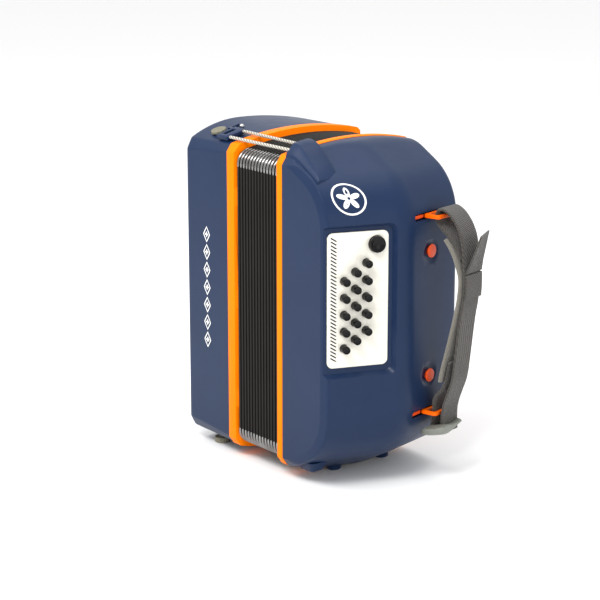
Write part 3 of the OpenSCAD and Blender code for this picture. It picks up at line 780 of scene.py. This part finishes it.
buckle = wrapped(28, 32, buckle_spot)
smooth(buckle, 50)
finished(buckle, "strap_buckle_finished", BUCKLE, "grey_plastic", "bass", "strap_buckle")
for node, finish in {"key_axle": STEEL, "fingerboard_screws": STEEL, "treble_reed_blocks": WOOD,
                     "treble_reed_plates": BRASS, "bass_reed_plates": BRASS, "bass_reed_block": WOOD,
                     "bass_soundboard": WOOD, "air_valve": WOOD}.items():
    nodes[node].data.materials.clear()
    nodes[node].data.materials.append(finish)

# a black sheet behind the panel's slots: painted shade for the dark inside seen through them
shade_sheet = rounded_block(on_button_face(-6.0, 6.4, PANEL_UP), (0.6, 8, 111), 0.2, 2, -PANEL_TURN)
finished(shade_sheet, "slot_shade_sheet", SLOT_SHADE_BLACK, "black_buttons", "bass")


# ---- Printed marks: a ring with a plain figure, and a row of lozenges ----
DECAL_IN, DECAL_OUT = -0.1, 0.12                # how far a print reaches under and over its surface


def decal(inner, outer, place, steps=96):
    """A thin print between two outlines given as radii by angle."""
    def spot(u, v):
        angle = 2 * math.pi * u
        corner = round(v * 4) % 4
        r = (inner if corner in (0, 3) else outer)(angle)
        return place(r * math.cos(angle), r * math.sin(angle), DECAL_IN if corner < 2 else DECAL_OUT)
    return wrapped(steps, 4, spot, caps=False)


EMBLEM_ALONG, EMBLEM_ANGLE = 24.0, math.radians(57)


def on_shoulder(a, b, out):
    """A place on the shoulder round the emblem's middle: along the face, up the curve, and out of it."""
    angle = EMBLEM_ANGLE - b / SHOULDER_R
    y = BEVEL_D + (EMBLEM_ALONG + a) * math.cos(PANEL_TURN)
    r = SHOULDER_R + out
    return at(face_x(y) - SHOULDER_R + r * math.sin(angle), y, SHOULDER_Z + r * math.cos(angle))


def petals(angle):
    return 3.2 + 7.4 * abs(math.cos(2.5 * (angle - math.pi / 2))) ** 1.6


emblem = joined([decal(lambda a: 13.4, lambda a: 15.0, on_shoulder),
                 decal(lambda a: 1.4, petals, on_shoulder)])
smooth(emblem, 30)
finished(emblem, "emblem", MARK, "ivory_panel", "bass")
marks = []
for k in range(7):
    def on_front(a, b, out, z=-47 + 16.5 * k):
        return at(-32 + a, -out, z + b)
    marks.append(decal(lambda a: 0.9 / (abs(math.cos(a)) / 4.4 + abs(math.sin(a)) / 6.8),
                       lambda a: 1 / (abs(math.cos(a)) / 4.6 + abs(math.sin(a)) / 7.0) + 0.5,
                       on_front, 32))
    marks.append(decal(lambda a: 0.0, lambda a: 1.9 + 0.7 * math.cos(4 * a), on_front, 32))
marks = joined(marks)
smooth(marks, 30)
finished(marks, "front_ornament", MARK, "ivory_panel", "treble")

# ---- Bellows ----
FOLDS = 14
FOLD_PITCH = (FOLDS_END - FOLDS_X) / FOLDS
FOLD_STEPS = [(0.0, 1.0), (0.12, 0.4), (0.24, 0.05), (0.36, 0.0), (0.76, 0.05), (0.88, 0.4)]
CAP_INSET, CAP_END = 4.8, 13.5


def bellows_outline(inset, ahead):
    """Inset from the frame's outline at the top, and less at the front and back by the second number."""
    front, back = FRONT_Z - inset, FRONT_Z + BACK_RISE - inset
    near = inset - ahead
    ys = [7 + near + (DEPTH - 14 - 2 * near) * i / 14 for i in range(15)]
    top = [(y, arch(y) - inset) for y in ys]
    corners = [(near, front)] + top + [(DEPTH - near, back)]
    corners += [(y, -z) for y, z in reversed(corners)]
    radii = [5, 6] + [0] * 13 + [6, 5] + [5, 6] + [0] * 13 + [6, 5]
    return softened(corners, radii, 5)


def bellows_body():
    peak, dip = bellows_outline(5.2, 3.9), bellows_outline(12.5, 3.5)
    rings = []
    for i, (step, depth) in enumerate(FOLD_STEPS * FOLDS + FOLD_STEPS[:1]):
        x = FOLDS_X + FOLD_PITCH * (i // len(FOLD_STEPS) + step)
        rings.append([(x, *a.lerp(b, depth)) for a, b in zip(peak, dip)])
    body = skinned(rings, lambda p: at(*p), caps=False)
    smooth(body, 40)
    return body


def corner_caps():
    """Metal caps folded over each fold's four corners."""
    line = bellows_outline(CAP_INSET, 3.9)
    # the run of outline points from the front face over the corner onto the top
    run = [Vector((0.9, FRONT_Z - CAP_INSET - 7))] + line[:11]
    run.append(Vector((CAP_END, arch(CAP_END) - CAP_INSET)))
    steps = len(run) - 1
    parts = []
    half = 6

    def cap(u, v, x, flip_y, flip_z):
        i = round(u * steps)
        here = run[i]
        a, b = run[max(i - 1, 0)], run[min(i + 1, steps)]
        normal = Vector((-(b - a).y, (b - a).x)).normalized()
        angle = math.pi * v
        taper = 0.6 + 0.4 * math.sin(math.pi * i / steps) ** 0.5
        width = FOLD_PITCH * 0.33 * taper
        off = here + normal * (math.sin(angle) * 1.3 * taper - 1.0)
        y = off.x if not flip_y else DEPTH - off.x
        return at(x - math.cos(angle) * width, y, off.y * flip_z)
    for i in range(FOLDS):
        x = FOLDS_X + FOLD_PITCH * (i + 0.5)
        for flip_y in (False, True):
            for flip_z in (1, -1):
                parts.append(wrapped(steps, half, lambda u, v: cap(u, v, x, flip_y, flip_z), seam=False,
                                     caps=True))
    caps = joined(parts)
    smooth(caps, 60)
    return caps


STRETCH = (at(FOLDS_X, DEPTH / 2, 0), at(FOLDS_END, DEPTH / 2, 0))
folds = finished(bellows_body(), "bellows_folds", CLOTH, "bellows_cloth", None, "bellows")
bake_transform(folds)
caps = finished(corner_caps(), "bellows_corner_caps", SILVER, "steel", None)
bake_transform(caps)

# ---- Elastic cords ----
CORD_R = 1.5


def cord(start, end):
    start, end = Vector(start), Vector(end)
    length = (end - start).length
    axis = (end - start).normalized()
    side = axis.cross(Vector((0, 0, 1))).normalized()
    up = side.cross(axis)
    turns = length / 12.6

    def place(u, v):
        angle = 2 * math.pi * v
        lobes = abs(math.cos(1.5 * (angle - 2 * math.pi * turns * u)))
        r = CORD_R * (0.84 + 0.16 * lobes)
        p = start + axis * (length * u) + (side * math.cos(angle) + up * math.sin(angle)) * r
        return at(*p)
    return wrapped(90, 18, place, uv=lambda u, v: (v, u * length * MM))


for name, start, end in (("closing_cord_front", (-8.5, 10, 143.2), (81, 8.5, 143.8)),
                         ("closing_cord_back", (-8.5, 25, 147), (81, 20, 147.4))):
    tube = cord(start, end)
    smooth(tube, 50)
    finished(tube, name, CORD, "cord", None, "elastic_cords")
    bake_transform(tube)
    route = [at(*(Vector(start).lerp(Vector(end), k / 30))) for k in range(31)]
    run_length = sum((b - a).length for a, b in zip(route, route[1:]))
    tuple(route[0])


# ---- Hand strap ----
STRAP_MID, DRIFT, DRIFT_FROM, DRIFT_OVER = 37.0, 5.5, 52, 30    # the strap runs aside towards its ends
STEPS = 6


def band(route, width, thick, crown=0.0, twist=0.0):
    """Webbing or padding along a route of points off the palm face: distance off it, and height."""
    run = curve_through(route, STEPS)
    point = sampled(run)
    length = sum((b - a).length for a, b in zip(run, run[1:]))
    section = []
    w, t = width / 2, thick / 2
    round_by = min(t, 1.0 if not crown else t)
    n = 5
    for sx, sy, base in ((1, 1, 0), (-1, 1, 90), (-1, -1, 180), (1, -1, 270)):
        for k in range(n):
            a = math.radians(base + 90 * k / (n - 1))
            section.append(Vector((sx * (w - round_by) + round_by * math.cos(a),
                                   sy * (t - round_by) + round_by * math.sin(a))))
    across = 10
    full = []
    for i, p in enumerate(section):
        q = section[(i + 1) % len(section)]
        full.append(p)
        if abs(p.x - q.x) > width / 4:
            full += [p.lerp(q, k / across) for k in range(1, across)]
    if crown:
        full = [Vector((p.x, p.y * (1 - crown * (abs(p.x) / w) ** 2.2))) for p in full]
    count = len(full)
    last = STEPS * (len(route) - 1)

    def place(u, v):
        here = point(u)
        ahead = point(min(u + 0.5 / last, 1)) - point(max(u - 0.5 / last, 0))
        normal = Vector((-ahead.y, ahead.x)).normalized()
        p = full[round(v * count) % count]
        turn = twist * u
        aside = w + (p.x - w) * math.cos(turn)
        spot = here + normal * (p.y + (p.x - w) * math.sin(turn))
        drift = DRIFT * max(0.0, min(1.0, (abs(spot.y) - DRIFT_FROM) / DRIFT_OVER))
        return on_palm_face(spot.x, STRAP_MID + aside + drift, spot.y)
    return wrapped(last, count, place,
                   uv=lambda u, v: (full[round(v * count) % count].x * MM, u * length * MM))


STRAP = [(17.5, -106), (16.8, -93), (18, -82), (23, -70), (30, -54), (32.5, -38), (37, 0), (39.5, 15),
         (41, 32), (40.4, 47), (36, 68), (30, 80), (22, 90), (14, 94.5), (9, 93), (7.9, 87), (11, 80),
         (23, 71), (31, 63.5), (36.3, 55.5)]
ANCHOR = [(27.5, -38), (24.5, -52), (19, -63), (10.5, -73), (8, -80), (7.9, -88), (5, -107)]
LINER = [(18.8, 69.5), (24.5, 63.5), (30, 56), (34, 47.5), (36.6, 38), (36.4, 27), (34.6, 14),
         (31.6, 0), (28.2, -14), (24.8, -28), (20.6, -44), (17.5, -57)]
strap = joined([band(STRAP, 25, 2.0), band(ANCHOR, 25, 2.0),
                band([(42.6, 43), (44.2, 56), (46.4, 77)], 25, 1.6, twist=math.radians(17)),
                band([(42.4, 20), (42.9, 30), (42.7, 41.5)], 25.6, 1.6)])
smooth(strap, 50)
finished(strap, "hand_strap_webbing", WEBBING, "webbing", "bass", "hand_strap")
pad = band(LINER, 28, 5.0, crown=0.45)
smooth(pad, 60)
finished(pad, "hand_strap_pad", KNIT, "knit_pad", "bass", "strap_liner")
